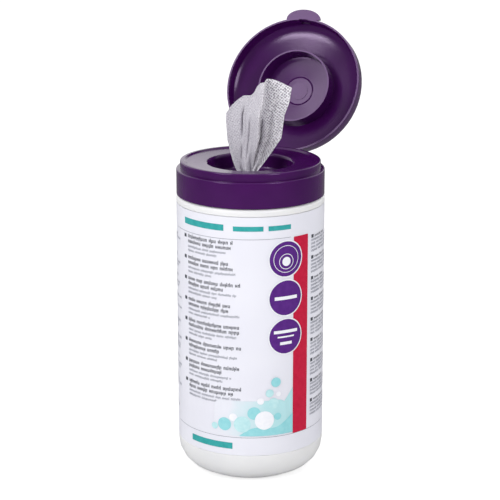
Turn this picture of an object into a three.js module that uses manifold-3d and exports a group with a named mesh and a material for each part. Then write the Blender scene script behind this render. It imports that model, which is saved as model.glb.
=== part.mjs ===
// Pack of disinfecting wipes: a round plastic canister with a wrap label, a screw cap with
// a flip lid, the wipe roll inside it and one wipe pulled up through the cap.
// Millimetres, +Z up. The origin is the middle of the base. The lid's hinge is toward +Y
// and its thumb tab toward -Y. The lid stands open, as the canister is used.
import * as THREE from 'three'
import { mergeVertices } from 'three/addons/utils/BufferGeometryUtils.js'
import Module from 'manifold-3d'

const wasm = await Module()
wasm.setup()

// Roundness of the turned shapes
const FACETS = 64
const ARC_STEPS = 5
const OUTLINE_STEPS = 12

// Clearances between pieces
const FILM_CLEARANCE = 0.3
const PRINT_CLEARANCE = 0.1
const SEAT_CLEARANCE = 0.3
const SKIRT_CLEARANCE = 0.5
const THREAD_CLEARANCE = 0.5
const SWING_CLEARANCE = 0.5
const ROLL_CLEARANCE = 0.8
const PLUG_CLEARANCE = 1.7
const WIPE_NECK_CLEARANCE = 0.4

// Roll of wipes: its width sets the height of the bottle
const ROLL_HEIGHT = 180
const ROLL_CORE_R = 15
const ROLL_TURNS = 8
const ROLL_TURN_STEPS = 30
const ROLL_TURN_GAP = 0.4

// Radii, from the bottle's outside inward
const BOTTLE_R = 47.5
const SKIRT_INSET = 0.1
const SKIRT_R = BOTTLE_R - SKIRT_INSET
const SKIRT_WALL = 1.5
const LEDGE_WIDTH = 0.9
const LID_R = SKIRT_R - LEDGE_WIDTH
const LID_WALL = 1.1
const PLATFORM_R = LID_R - LID_WALL - SWING_CLEARANCE
const PLATFORM_WALL = 1.3
const NECK_R = PLATFORM_R - PLATFORM_WALL - THREAD_CLEARANCE
const NECK_WALL = 1.3
const NECK_BORE_R = NECK_R - NECK_WALL
const ROLL_R = NECK_BORE_R - ROLL_CLEARANCE
const WELL_R = 27
const PLUG_OUTER_R = WELL_R - PLUG_CLEARANCE

// Wrap label, sunk in a panel of the bottle
const LABEL_FILM = 0.25
const LABEL_SEAM_WIDTH = 0.6
const LABEL_INNER_R = BOTTLE_R - LABEL_FILM
const PANEL_R = LABEL_INNER_R - FILM_CLEARANCE
const PANEL_LEDGE = 0.55

// Bottle. The roll stands as low as the round corner of the cavity lets it
const BOTTLE_WALL = 1.2
const BASE_CORNER_R = 18
const BASE_FLAT_R = BOTTLE_R - BASE_CORNER_R
const CAVITY_R = PANEL_R - BOTTLE_WALL
const CAVITY_CORNER_R = CAVITY_R - BASE_FLAT_R
const ROLL_REACH = ROLL_R + SEAT_CLEARANCE - BASE_FLAT_R
const ROLL_LOW_Z = BASE_CORNER_R - Math.sqrt(CAVITY_CORNER_R ** 2 - ROLL_REACH ** 2)
const ROLL_TOP_Z = ROLL_LOW_Z + ROLL_HEIGHT
const ROLL_ABOVE_SHOULDER = 4.4
const SHOULDER_Z = ROLL_TOP_Z - ROLL_ABOVE_SHOULDER
const SHOULDER_CORNER_R = 2
const LIP_CHAMFER = 0.4

// Heights of the screw cap, from the shoulder up
const SKIRT_HEIGHT = 16.3
const PLATFORM_HEIGHT = 5.1
const WELL_DEPTH = 12.3
const LIP_DEPTH = 2.7
const SKIRT_BOTTOM_Z = SHOULDER_Z + SKIRT_CLEARANCE
const LEDGE_Z = SKIRT_BOTTOM_Z + SKIRT_HEIGHT
const PLATFORM_TOP_Z = LEDGE_Z + PLATFORM_HEIGHT
const LIP_Z = PLATFORM_TOP_Z - LIP_DEPTH
const WELL_FLOOR_Z = PLATFORM_TOP_Z - WELL_DEPTH

// Printed fields on the label, azimuths measured from -Y toward +X
const LABEL_ABOVE_CORNER = 3.2
const LABEL_BELOW_SHOULDER = 4.8
const LABEL_BOTTOM_Z = BASE_CORNER_R + LABEL_ABOVE_CORNER
const LABEL_TOP_Z = SHOULDER_Z - LABEL_BELOW_SHOULDER
const INK_THICKNESS = 0.12
const BAND_ABOVE_LABEL_FOOT = 12.3
const BAND_BELOW_LABEL_HEAD = 14.1
const BAND_LOW_Z = LABEL_BOTTOM_Z + BAND_ABOVE_LABEL_FOOT
const BAND_HIGH_Z = LABEL_TOP_Z - BAND_BELOW_LABEL_HEAD
const BAND_AZIMUTH = 64
const BAND_WIDTH = 12
const BAND_CORNER_R = 0.5
const DISC_NAMES = ['print_disc_top', 'print_disc_middle', 'print_disc_bottom']
const DISC_R = 11.3
const DISC_AZIMUTH = 50.2
const DISC_OUTLINE = 0.9
const DISC_BELOW_BAND_TOP = 13.5
const DISC_PITCH = 25.2
const PICTURE_AZIMUTH = 22
const PICTURE_WIDTH = 46
const PICTURE_HEIGHT = 22
const PICTURE_ABOVE_BAND_END = 2.5
const PICTURE_CORNER_R = 5

// Screw thread of neck and cap: right-handed, single start
const THREAD_LEAD = 6
const THREAD_TURNS = 1.25
const THREAD_STEPS = 40
const THREAD_FOOT = 2.2
const THREAD_CREST = 1.2
const THREAD_SINK = 0.5
const THREAD_RUN_IN = 0.1
const THREAD_ABOVE_SHOULDER = 5.2
const NECK_THREAD_Z = SHOULDER_Z + THREAD_ABOVE_SHOULDER
const SKIRT_BORE_R = SKIRT_R - SKIRT_WALL
const NECK_THREAD_CLEARANCE = 1.2
const NECK_THREAD_R = SKIRT_BORE_R - NECK_THREAD_CLEARANCE
const CAP_THREAD_R = NECK_R + THREAD_CLEARANCE

// Deck of the screw cap
const LEDGE_ROUND = 0.8
const RIM_WIDTH = 1.6
const RIM_FILLET = 0.9
const DISH_EDGE_R = 41
const DISH_EDGE_DEPTH = 1
const DISH_FLAT_R = 33
const DISH_DEPTH = 1.6
const DISH_FLAT_Z = PLATFORM_TOP_Z - DISH_DEPTH
const WELL_ROUND = 2
const DECK_WALL = 1.2
const ORIFICE_R = 4.6
const SLIT_COUNT = 3
const SLIT_LENGTH = 22
const SLIT_WIDTH = 1

// Flip lid, measured while closed
const LID_RIM_Z = LEDGE_Z + SEAT_CLEARANCE
const LID_SIDE_HEIGHT = 7.5
const LID_SHOULDER_R = 36.5
const LID_SHOULDER_RISE = 13.4
const LID_SHOULDER_FULLNESS = 4.2
const LID_CROWN_RISE = 16.8
const LID_ROOF = 1.3
const LID_ROOF_SHARES = [0.75, 0.5, 0.25]
const PLUG_WALL = 1.6
const PLUG_TAPER = 0.3
const PLUG_MOUTH_RISE = 2.6
const GATE_BOSS_R = 6
const GATE_RING_R = 9.6
const GATE_RING_WIDTH = 1
const GATE_RELIEF = 0.35
const TAB_WIDTH = 24
const TAB_REACH = 6.2
const TAB_THICKNESS = 1.6
const TAB_ROOT = 3
const CATCH_WIDTH = 6.5
const CATCH_DEPTH = 0.4
const CATCH_HEIGHT = 8.5
const CATCH_BELOW_RIM = 0.5
const LID_OPEN_ANGLE = 116.8

// Moulded hinge between cap and lid
const HINGE_OUTSET = 2
const HINGE_DROP = 1.4
const HINGE_Y = SKIRT_R + HINGE_OUTSET
const HINGE_Z = LEDGE_Z - HINGE_DROP
const HINGE_WIDTH = 18
const HINGE_FILM = 1
// Thickness of the straps where they meet cap, gap and lid, as multiples of the film
const CAP_STRAP_ROOT = 1.5
const CAP_STRAP_EDGE = 0.8
const LID_STRAP_ROOT = 1.6
const LEDGE_OVERHANG = 0.1

// Standing wipe
const WIPE_AZIMUTH = 22.3
const WIPE_NECK_WIDTH_SHARE = 0.8
const WIPE_NECK_DEPTH_SHARE = 0.55
// Across the sheet, 0 is its left edge and 1 its right; depths are shares of a row's depth
const WIPE_FOLD = 0.52
const LEFT_PANEL = { lift: 0.5, wave: 0.45, halfWaves: 3, lean: 0.4 }
const RIGHT_PANEL = { wave: 0.9, drop: 0.1 }
const FOLD_CREASE = { depth: 1.1, width: 0.05 }
const WIPE_THICKNESS = 1
const WIPE_TAIL_LENGTH = 42
const WIPE_FANNED_AT = 33
const WIPE_PLEATS = 3
const WIPE_ACROSS = 26
const WIPE_UP = 26

const radians = THREE.MathUtils.degToRad
const point = (radius, height) => new THREE.Vector2(radius, height)

// Points of a round corner of a profile, swept between two angles in degrees
function roundCorner(centreRadius, centreHeight, radius, startAngle, endAngle) {
  return Array.from({ length: ARC_STEPS + 1 }, (_, step) => {
    const angle = radians(startAngle + ((endAngle - startAngle) * step) / ARC_STEPS)
    return point(centreRadius + radius * Math.cos(angle), centreHeight + radius * Math.sin(angle))
  })
}

function signedVolume(positions, triangles) {
  const [a, b, c] = [new THREE.Vector3(), new THREE.Vector3(), new THREE.Vector3()]
  let volume = 0
  for (let i = 0; i < triangles.length; i += 3) {
    a.fromArray(positions, triangles[i] * 3)
    b.fromArray(positions, triangles[i + 1] * 3)
    c.fromArray(positions, triangles[i + 2] * 3)
    volume += a.dot(b.cross(c)) / 6
  }
  return volume
}

// Turns a closed three.js geometry into a solid that can be joined and cut
function toSolid(geometry) {
  geometry.deleteAttribute('normal')
  geometry.deleteAttribute('uv')
  const merged = mergeVertices(geometry, 1e-4)
  const positions = merged.attributes.position.array
  const triangles = []
  for (let i = 0; i < merged.index.count; i += 3) {
    const corners = [0, 1, 2].map((k) => merged.index.getX(i + k))
    if (new Set(corners).size === 3) triangles.push(...corners)
  }
  if (signedVolume(positions, triangles) < 0) triangles.reverse()
  return new wasm.Manifold(new wasm.Mesh({
    numProp: 3,
    vertProperties: new Float32Array(positions),
    triVerts: new Uint32Array(triangles),
  }))
}

function toMesh(name, solid, color, roughness = 0.4) {
  const { vertProperties, triVerts } = solid.getMesh()
  const geometry = new THREE.BufferGeometry()
  geometry.setAttribute('position', new THREE.BufferAttribute(new Float32Array(vertProperties), 3))
  geometry.setIndex(new THREE.BufferAttribute(new Uint32Array(triVerts), 1))
  geometry.computeVertexNormals()
  const mesh = new THREE.Mesh(geometry, new THREE.MeshStandardMaterial({ color, roughness, metalness: 0 }))
  mesh.name = name
  return mesh
}

// Solid of revolution about Z from a profile of (radius, height) points
function turned(profile) {
  return toSolid(new THREE.LatheGeometry(profile, FACETS).rotateX(Math.PI / 2))
}

function tubeProfile(innerR, outerR, lowZ, highZ) {
  const corners = [[innerR, lowZ], [outerR, lowZ], [outerR, highZ], [innerR, highZ], [innerR, lowZ]]
  return corners.map(([radius, height]) => point(radius, height))
}

function block(centre, size) {
  return toSolid(new THREE.BoxGeometry(...size).translate(...centre))
}

// Prism from a flat outline in X and Y, standing between two heights
function prism(outline, lowZ, highZ) {
  const geometry = new THREE.ExtrudeGeometry(outline, {
    depth: highZ - lowZ,
    bevelEnabled: false,
    curveSegments: OUTLINE_STEPS,
  })
  return toSolid(geometry.translate(0, 0, lowZ))
}

// Closed skin over a grid of section loops: each loop is a list of Vector3 of one length
function loft(loops) {
  const perLoop = loops[0].length
  const index = (loop, corner) => loop * perLoop + (corner % perLoop)
  const triangles = []
  for (let loop = 0; loop + 1 < loops.length; loop++) {
    for (let corner = 0; corner < perLoop; corner++) {
      triangles.push(index(loop, corner), index(loop, corner + 1), index(loop + 1, corner + 1))
      triangles.push(index(loop, corner), index(loop + 1, corner + 1), index(loop + 1, corner))
    }
  }
  return { points: loops.flat(), triangles, index }
}

function meshedSolid(points, triangles) {
  const geometry = new THREE.BufferGeometry().setFromPoints(points)
  geometry.setIndex(triangles)
  return toSolid(geometry)
}

// Helical ridge of a screw thread, its foot sunk into the wall that carries it
function threadRidge(wallR, crestR, startZ) {
  const outward = Math.sign(crestR - wallR)
  const footR = wallR - outward * THREAD_SINK
  const hiddenR = wallR - outward * THREAD_SINK / 2
  const loops = []
  for (let step = 0; step <= THREAD_STEPS; step++) {
    const along = step / THREAD_STEPS
    const angle = along * THREAD_TURNS * 2 * Math.PI
    const z = startZ + along * THREAD_TURNS * THREAD_LEAD
    const fullness = Math.min(1, along / THREAD_RUN_IN, (1 - along) / THREAD_RUN_IN)
    const ridgeR = hiddenR + (crestR - hiddenR) * fullness
    const corners = [
      [footR, -THREAD_FOOT],
      [ridgeR, -THREAD_CREST],
      [ridgeR, THREAD_CREST],
      [footR, THREAD_FOOT],
    ]
    loops.push(corners.map(([r, width]) =>
      new THREE.Vector3(r * Math.cos(angle), r * Math.sin(angle), z + width / 2)))
  }
  const { points, triangles, index } = loft(loops)
  const last = loops.length - 1
  triangles.push(index(0, 0), index(0, 2), index(0, 1), index(0, 0), index(0, 3), index(0, 2))
  triangles.push(index(last, 0), index(last, 1), index(last, 2))
  triangles.push(index(last, 0), index(last, 2), index(last, 3))
  return meshedSolid(points, triangles)
}

// Blow-moulded bottle: thick round corner at the base, a panel sunk for the label, a
// shoulder and a threaded neck
const panelLowZ = LABEL_BOTTOM_Z - PANEL_LEDGE
const panelHighZ = LABEL_TOP_Z + PANEL_LEDGE
const cavityTopZ = SHOULDER_Z - BOTTLE_WALL

function bottle() {
  const profile = [
    point(0, 0),
    ...roundCorner(BASE_FLAT_R, BASE_CORNER_R, BASE_CORNER_R, -90, 0),
    point(BOTTLE_R, panelLowZ),
    point(PANEL_R, panelLowZ + PANEL_LEDGE),
    point(PANEL_R, panelHighZ - PANEL_LEDGE),
    point(BOTTLE_R, panelHighZ),
    ...roundCorner(BOTTLE_R - SHOULDER_CORNER_R, SHOULDER_Z - SHOULDER_CORNER_R, SHOULDER_CORNER_R, 0, 90),
    point(NECK_R, SHOULDER_Z),
    point(NECK_R, LIP_Z - LIP_CHAMFER),
    point(NECK_R - LIP_CHAMFER, LIP_Z),
    point(NECK_BORE_R, LIP_Z),
    point(NECK_BORE_R, cavityTopZ),
    point(CAVITY_R, cavityTopZ - SHOULDER_CORNER_R * 2),
    ...roundCorner(BASE_FLAT_R, BASE_CORNER_R, CAVITY_CORNER_R, 0, -90),
    point(0, BASE_CORNER_R - CAVITY_CORNER_R),
  ]
  const solid = turned(profile).add(threadRidge(NECK_R, NECK_THREAD_R, NECK_THREAD_Z))
  return toMesh('bottle', solid, '#e9e9ec', 0.45)
}

// Wrap label: one turn of film whose ends meet at the back
function label() {
  const turn = turned(tubeProfile(LABEL_INNER_R, BOTTLE_R, LABEL_BOTTOM_Z, LABEL_TOP_Z))
  const seam = block([0, BOTTLE_R, SHOULDER_Z / 2], [LABEL_SEAM_WIDTH, LABEL_FILM * 8, SHOULDER_Z])
  return toMesh('label', turn.subtract(seam), '#e4e5ef', 0.35)
}

// Printed fields: thin curved patches on the label. The outline lies in a plane that faces
// the given azimuth, measured from -Y toward +X, with its own Y up
const inkInnerR = BOTTLE_R + PRINT_CLEARANCE
const inkShell = turned(tubeProfile(inkInnerR, inkInnerR + INK_THICKNESS, LABEL_BOTTOM_Z, LABEL_TOP_Z))

function stamp(outline, azimuth) {
  const geometry = new THREE.ExtrudeGeometry(outline, {
    depth: BOTTLE_R * 2,
    bevelEnabled: false,
    curveSegments: OUTLINE_STEPS,
  })
  return toSolid(geometry.rotateX(Math.PI / 2).rotateZ(radians(azimuth)))
}

function discOutline(radius, height) {
  return new THREE.Shape().absarc(0, height, radius, 0, 2 * Math.PI, false)
}

function rectangleOutline(width, lowZ, highZ, corner) {
  const half = width / 2
  return new THREE.Shape()
    .absarc(half - corner, lowZ + corner, corner, -Math.PI / 2, 0, false)
    .absarc(half - corner, highZ - corner, corner, 0, Math.PI / 2, false)
    .absarc(corner - half, highZ - corner, corner, Math.PI / 2, Math.PI, false)
    .absarc(corner - half, lowZ + corner, corner, Math.PI, Math.PI * 1.5, false)
}

function printedFields() {
  const bandOutline = rectangleOutline(BAND_WIDTH, BAND_LOW_Z, BAND_HIGH_Z, BAND_CORNER_R)
  let band = inkShell.intersect(stamp(bandOutline, BAND_AZIMUTH))
  const discs = DISC_NAMES.map((name, place) => {
    const height = BAND_HIGH_Z - DISC_BELOW_BAND_TOP - place * DISC_PITCH
    band = band.subtract(stamp(discOutline(DISC_R + DISC_OUTLINE, height), DISC_AZIMUTH))
    return toMesh(name, inkShell.intersect(stamp(discOutline(DISC_R, height), DISC_AZIMUTH)), '#5b2a82')
  })
  const pictureLowZ = BAND_LOW_Z + PICTURE_ABOVE_BAND_END
  const pictureHighZ = pictureLowZ + PICTURE_HEIGHT
  const picture = rectangleOutline(PICTURE_WIDTH, pictureLowZ, pictureHighZ, PICTURE_CORNER_R)
  return [
    toMesh('print_red_band', band, '#c01834'),
    ...discs,
    toMesh('print_picture_field', inkShell.intersect(stamp(picture, PICTURE_AZIMUTH)), '#a9dde2'),
  ]
}

// Screw cap: skirt, ledge, raised platform, dished deck and the deep well whose floor
// holds the star-shaped dispensing hole
const deckUnderZ = DISH_FLAT_Z - DECK_WALL
const wellOuterR = WELL_R + DECK_WALL
const sealR = NECK_BORE_R - SEAT_CLEARANCE
const platformBoreR = PLATFORM_R - PLATFORM_WALL

function capBody() {
  return turned([
    point(0, WELL_FLOOR_Z - DECK_WALL),
    point(wellOuterR, WELL_FLOOR_Z - DECK_WALL),
    point(wellOuterR, deckUnderZ),
    point(sealR, deckUnderZ),
    point(sealR, LIP_Z + SEAT_CLEARANCE),
    point(platformBoreR, LIP_Z + SEAT_CLEARANCE),
    point(platformBoreR, LEDGE_Z - SKIRT_WALL),
    point(SKIRT_BORE_R, LEDGE_Z - SKIRT_WALL),
    point(SKIRT_BORE_R, SKIRT_BOTTOM_Z),
    point(SKIRT_R, SKIRT_BOTTOM_Z),
    ...roundCorner(SKIRT_R - LEDGE_ROUND, LEDGE_Z - LEDGE_ROUND, LEDGE_ROUND, 0, 90),
    point(PLATFORM_R, LEDGE_Z),
    ...roundCorner(PLATFORM_R - RIM_FILLET, PLATFORM_TOP_Z - RIM_FILLET, RIM_FILLET, 0, 90),
    point(PLATFORM_R - RIM_FILLET - RIM_WIDTH, PLATFORM_TOP_Z),
    point(DISH_EDGE_R, PLATFORM_TOP_Z - DISH_EDGE_DEPTH),
    point(DISH_FLAT_R, DISH_FLAT_Z),
    ...roundCorner(WELL_R + WELL_ROUND, DISH_FLAT_Z - WELL_ROUND, WELL_ROUND, 90, 180),
    ...roundCorner(WELL_R - WELL_ROUND, WELL_FLOOR_Z + WELL_ROUND, WELL_ROUND, 0, -90),
    point(0, WELL_FLOOR_Z),
  ])
}

function dispensingHole() {
  const lowZ = WELL_FLOOR_Z - DECK_WALL * 2
  const highZ = WELL_FLOOR_Z + DECK_WALL
  let star = prism(new THREE.Shape().absarc(0, 0, ORIFICE_R, 0, 2 * Math.PI, false), lowZ, highZ)
  for (let slit = 0; slit < SLIT_COUNT; slit++) {
    const bar = new THREE.BoxGeometry(SLIT_LENGTH, SLIT_WIDTH, highZ - lowZ)
    bar.rotateZ((slit * Math.PI) / SLIT_COUNT).translate(0, 0, (lowZ + highZ) / 2)
    star = star.add(toSolid(bar))
  }
  return star
}

// A strap across the hinge, from its side outline in Y and Z measured from the axis
function hingeStrap(outline) {
  const shape = new THREE.Shape(outline.map(([y, z]) => point(y + HINGE_Y, z + HINGE_Z)))
  const geometry = new THREE.ExtrudeGeometry(shape, { depth: HINGE_WIDTH, bevelEnabled: false })
  return toSolid(geometry.rotateY(Math.PI / 2).rotateX(Math.PI / 2).translate(-HINGE_WIDTH / 2, 0, 0))
}

function cap() {
  const strapBack = SKIRT_R - SKIRT_WALL / 2 - HINGE_Y
  const strap = hingeStrap([
    [strapBack, -HINGE_FILM * CAP_STRAP_ROOT],
    [-SEAT_CLEARANCE, -HINGE_FILM * CAP_STRAP_EDGE],
    [-SEAT_CLEARANCE, 0],
    [strapBack, HINGE_FILM / 2],
  ])
  const thread = threadRidge(SKIRT_BORE_R, CAP_THREAD_R, NECK_THREAD_Z - THREAD_LEAD / 2)
  return toMesh('cap', capBody().subtract(dispensingHole()).add(thread).add(strap), '#4b2058', 0.3)
}

// Flip lid, drawn closed: straight side, rounded shoulder, domed roof, plug ring inside
const rise = (height) => LID_RIM_Z + height

function lidShell() {
  const insideR = LID_R - LID_WALL
  const shoulderInsideR = LID_SHOULDER_R - LID_WALL / 2
  const crown = rise(LID_CROWN_RISE)
  const underside = crown - LID_ROOF
  const bend = new THREE.CubicBezierCurve(
    point(LID_R, rise(LID_SIDE_HEIGHT)),
    point(LID_R, rise(LID_SIDE_HEIGHT + LID_SHOULDER_FULLNESS)),
    point(LID_SHOULDER_R + LID_SHOULDER_FULLNESS, rise(LID_SHOULDER_RISE - 1)),
    point(LID_SHOULDER_R, rise(LID_SHOULDER_RISE)),
  )
  const insideBend = new THREE.CubicBezierCurve(
    point(shoulderInsideR, rise(LID_SHOULDER_RISE) - LID_ROOF),
    point(shoulderInsideR + LID_SHOULDER_FULLNESS, rise(LID_SHOULDER_RISE - 1) - LID_ROOF),
    point(insideR, rise(LID_SIDE_HEIGHT + LID_SHOULDER_FULLNESS - 1)),
    point(insideR, rise(LID_SIDE_HEIGHT - 1)),
  )
  const roofHeight = (radius) =>
    crown - (LID_CROWN_RISE - LID_SHOULDER_RISE) * (radius / LID_SHOULDER_R) ** 2
  const insideHeight = (radius) => roofHeight(radius) - LID_ROOF
  const plugInnerR = PLUG_OUTER_R - PLUG_WALL
  return turned([
    point(0, underside - GATE_RELIEF),
    point(GATE_BOSS_R, underside - GATE_RELIEF),
    point(GATE_BOSS_R, insideHeight(GATE_BOSS_R)),
    point(GATE_RING_R - GATE_RING_WIDTH / 2, insideHeight(GATE_RING_R)),
    point(GATE_RING_R, insideHeight(GATE_RING_R) - GATE_RELIEF),
    point(GATE_RING_R + GATE_RING_WIDTH / 2, insideHeight(GATE_RING_R)),
    point(plugInnerR, insideHeight(plugInnerR)),
    point(plugInnerR + PLUG_TAPER, rise(PLUG_MOUTH_RISE)),
    point(PLUG_OUTER_R - PLUG_TAPER, rise(PLUG_MOUTH_RISE)),
    point(PLUG_OUTER_R, insideHeight(PLUG_OUTER_R)),
    ...insideBend.getPoints(ARC_STEPS),
    point(insideR, LID_RIM_Z),
    point(LID_R, LID_RIM_Z),
    ...bend.getPoints(ARC_STEPS),
    ...LID_ROOF_SHARES.map((share) => point(LID_SHOULDER_R * share, roofHeight(LID_SHOULDER_R * share))),
    point(0, crown),
  ])
}

function thumbTab() {
  const halfWidth = TAB_WIDTH / 2
  const root = LID_R - LID_WALL / 2
  const outline = new THREE.Shape()
    .moveTo(halfWidth, -root + TAB_ROOT)
    .absellipse(0, -root, halfWidth, TAB_REACH + LID_WALL / 2, 0, Math.PI, true, 0)
    .lineTo(-halfWidth, -root + TAB_ROOT)
  const inside = turned([
    point(0, LID_RIM_Z - TAB_THICKNESS),
    point(root, LID_RIM_Z - TAB_THICKNESS),
    point(root, rise(TAB_THICKNESS * 2)),
    point(0, rise(TAB_THICKNESS * 2)),
  ])
  return prism(outline, LID_RIM_Z, rise(TAB_THICKNESS)).subtract(inside)
}

function flipLid() {
  const catchSlot = block(
    [0, -LID_R + LID_WALL, rise(CATCH_HEIGHT / 2 - CATCH_BELOW_RIM)],
    [CATCH_WIDTH, CATCH_DEPTH * 2, CATCH_HEIGHT + CATCH_BELOW_RIM * 2],
  )
  const strapRoot = LID_R - LID_WALL / 2 - HINGE_Y
  const strapUnder = LID_RIM_Z - HINGE_Z
  const strap = hingeStrap([
    [strapRoot, strapUnder],
    [SKIRT_R + LEDGE_OVERHANG - HINGE_Y, strapUnder],
    [-LEDGE_OVERHANG * 2, SEAT_CLEARANCE],
    [HINGE_FILM / 2, HINGE_FILM],
    [-HINGE_FILM / 2, HINGE_FILM * 2],
    [strapRoot, strapUnder + HINGE_FILM * LID_STRAP_ROOT],
  ])
  const solid = lidShell().subtract(catchSlot).add(thumbTab()).add(strap)
  const mesh = toMesh('flip_lid', solid, '#5a2a68', 0.3)
  mesh.position.set(0, -HINGE_Y, -HINGE_Z)
  const pivot = new THREE.Group()
  pivot.position.set(0, HINGE_Y, HINGE_Z)
  pivot.rotation.x = radians(-LID_OPEN_ANGLE)
  pivot.add(mesh)
  return pivot
}

// Roll: one long strip wound from the core outward, its turns a hair apart
function wipeRoll() {
  const pitch = (ROLL_R - ROLL_CORE_R) / (ROLL_TURNS + 1)
  const thickness = pitch - ROLL_TURN_GAP
  const steps = ROLL_TURNS * ROLL_TURN_STEPS
  const spiral = (offset) => Array.from({ length: steps + 1 }, (_, step) => {
    const angle = (step / ROLL_TURN_STEPS) * 2 * Math.PI
    const radius = ROLL_CORE_R + (step / ROLL_TURN_STEPS) * pitch + offset
    return point(radius * Math.cos(angle), radius * Math.sin(angle))
  })
  const outline = new THREE.Shape([...spiral(thickness), ...spiral(0).reverse()])
  return toMesh('wipe_roll', prism(outline, ROLL_LOW_Z, ROLL_TOP_Z), '#eef0f2', 0.9)
}

// Standing wipe: a gathered sheet that passes the dispensing hole and fans out above it.
// Each row gives a height above the well's floor, the left and right edges seen from the
// front, and the depth of the pleats
const wipeNeckR = ORIFICE_R - WIPE_NECK_CLEARANCE - WIPE_THICKNESS / 2
const neckHalf = wipeNeckR * WIPE_NECK_WIDTH_SHARE
const neckDepth = wipeNeckR * WIPE_NECK_DEPTH_SHARE
const WIPE_ROWS = [
  { above: -WIPE_TAIL_LENGTH, left: -7, right: 7, depth: 5 },
  { above: -8, left: -4, right: 4, depth: 3 },
  { above: -DECK_WALL - 1, left: -neckHalf, right: neckHalf, depth: neckDepth },
  { above: 0.6, left: -neckHalf, right: neckHalf, depth: neckDepth },
  { above: 5, left: -8.6, right: 4.6, depth: 3.2 },
  { above: 11, left: -11.1, right: 9.5, depth: 3.6 },
  { above: 16, left: -12.6, right: 13.4, depth: 4 },
  { above: 25, left: -14.7, right: 19.6, depth: 4.6 },
  { above: 40, left: -15.7, right: 21.6, depth: 5 },
  { above: 48, left: -14.6, right: 24.8, depth: 5 },
  { above: 59, left: -14, right: 27.4, depth: 4.6 },
]
const WIPE_TOP = [
  { across: 0, above: 42 },
  { across: 0.1, above: 48.5 },
  { across: 0.25, above: 53 },
  { across: 0.37, above: 52.8 },
  { across: 0.46, above: 55.5 },
  { across: 0.52, above: 60.4 },
  { across: 0.68, above: 63 },
  { across: 0.84, above: 59.5 },
  { across: 1, above: 57.9 },
]

// Straight-line reading of a table of rows at one value of its first column
function readTable(rows, key, value, column) {
  const next = Math.max(1, rows.findIndex((row) => row[key] >= value))
  const [low, high] = [rows[next - 1], rows[next]]
  const share = THREE.MathUtils.clamp((value - low[key]) / (high[key] - low[key]), 0, 1)
  return THREE.MathUtils.lerp(low[column], high[column], share)
}

// How far the sheet stands toward the front: tight pleats at the hole, then two panels
// with a deep fold between them
function wipeDepth(across, above) {
  const spread = THREE.MathUtils.smoothstep(above, 0, WIPE_FANNED_AT)
  const gathered = Math.cos(across * Math.PI * 2 * WIPE_PLEATS)
  const leftWave = LEFT_PANEL.wave * Math.cos((across / WIPE_FOLD) * Math.PI * LEFT_PANEL.halfWaves)
  const leftPanel = LEFT_PANEL.lift + leftWave - LEFT_PANEL.lean * across
  const rightWave = Math.cos(((across - WIPE_FOLD) / (1 - WIPE_FOLD)) * Math.PI)
  const rightPanel = RIGHT_PANEL.wave * rightWave - RIGHT_PANEL.drop
  const crease = FOLD_CREASE.depth * Math.exp(-(((across - WIPE_FOLD) / FOLD_CREASE.width) ** 2))
  const fanned = (across < WIPE_FOLD ? leftPanel : rightPanel) - crease
  return readTable(WIPE_ROWS, 'above', above, 'depth') * THREE.MathUtils.lerp(gathered, fanned, spread)
}

function leadingWipe() {
  const surfacePoint = (across, up, side) => {
    const top = readTable(WIPE_TOP, 'across', across, 'above')
    const above = THREE.MathUtils.lerp(-WIPE_TAIL_LENGTH, top, up)
    const left = readTable(WIPE_ROWS, 'above', above, 'left')
    const right = readTable(WIPE_ROWS, 'above', above, 'right')
    const depth = wipeDepth(across, above) + (side * WIPE_THICKNESS) / 2
    return new THREE.Vector3(THREE.MathUtils.lerp(left, right, across), -depth, WELL_FLOOR_Z + above)
  }
  const columns = Array.from({ length: WIPE_ACROSS + 1 }, (_, i) => i / WIPE_ACROSS)
  const loops = Array.from({ length: WIPE_UP + 1 }, (_, row) => [
    ...columns.map((across) => surfacePoint(across, row / WIPE_UP, 1)),
    ...[...columns].reverse().map((across) => surfacePoint(across, row / WIPE_UP, -1)),
  ])
  const { points, triangles, index } = loft(loops)
  const last = loops.length - 1
  const back = 2 * WIPE_ACROSS + 1
  for (let i = 0; i < WIPE_ACROSS; i++) {
    triangles.push(index(0, i), index(0, back - i - 1), index(0, i + 1))
    triangles.push(index(0, i), index(0, back - i), index(0, back - i - 1))
    triangles.push(index(last, i), index(last, i + 1), index(last, back - i - 1))
    triangles.push(index(last, i), index(last, back - i - 1), index(last, back - i))
  }
  const mesh = toMesh('leading_wipe', meshedSolid(points, triangles), '#f4f5f7', 0.9)
  mesh.rotation.z = radians(WIPE_AZIMUTH)
  return mesh
}

const pack = new THREE.Group()
pack.name = 'disinfecting_wipes_pack'
pack.add(bottle(), label(), ...printedFields(), wipeRoll(), leadingWipe(), cap(), flipLid())

export default pack
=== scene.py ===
# %% [markdown]
# # A pack of disinfecting wipes
# A white bottle with a wrap label, a dark purple screw cap with its flip lid open, and one
# damp wipe standing in the cap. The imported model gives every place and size. This lesson
# dresses it: smooth turned plastics, printed film, and a gathered nonwoven cloth.

import math
import random

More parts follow.
